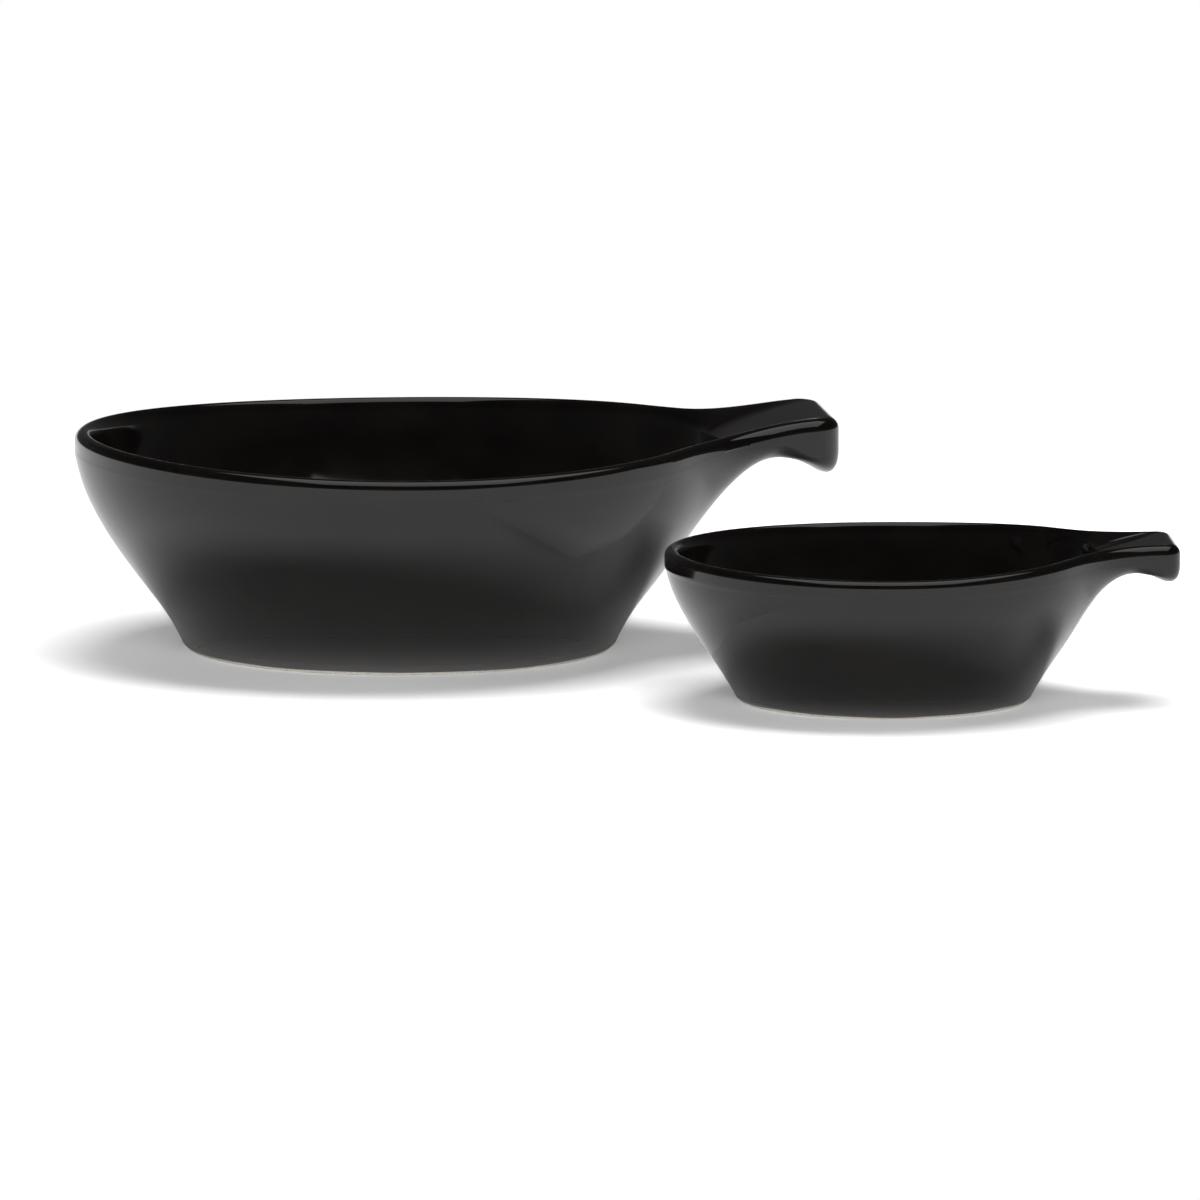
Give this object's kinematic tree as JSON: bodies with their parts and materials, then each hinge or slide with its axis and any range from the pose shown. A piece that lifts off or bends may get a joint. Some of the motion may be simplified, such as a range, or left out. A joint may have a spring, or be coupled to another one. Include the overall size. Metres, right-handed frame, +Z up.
{
  "type": "handled tapas dish set",
  "caption": "Large and small round stoneware tapas dishes, each with a foot ring, an outward flaring wall and one broad flat handle that grows out of the rim and turns down at its end.",
  "frame": {"origin": "on the table, under the middle of the box round both dishes", "axes": "+X runs along the longest extent, to the right and the way the handles point within 7 degrees; +Y runs to the back, away from the viewer; +Z is up"},
  "size_m": [0.3028, 0.2492, 0.0645],
  "materials": {
    "black_glaze": "glossy near-black glaze over fired stoneware, with bare clay only where the foot ring stands"
  },
  "bodies": {
    "large_dish": {"large_dish": "black_glaze"},
    "small_dish": {"small_dish": "black_glaze"}
  },
  "joints": [
    {"name": "small_dish_lift", "type": "slide", "parent": "large_dish", "child": "small_dish", "axis": [0, 0, 1], "range_m": [0, 0.12]}
  ]
}
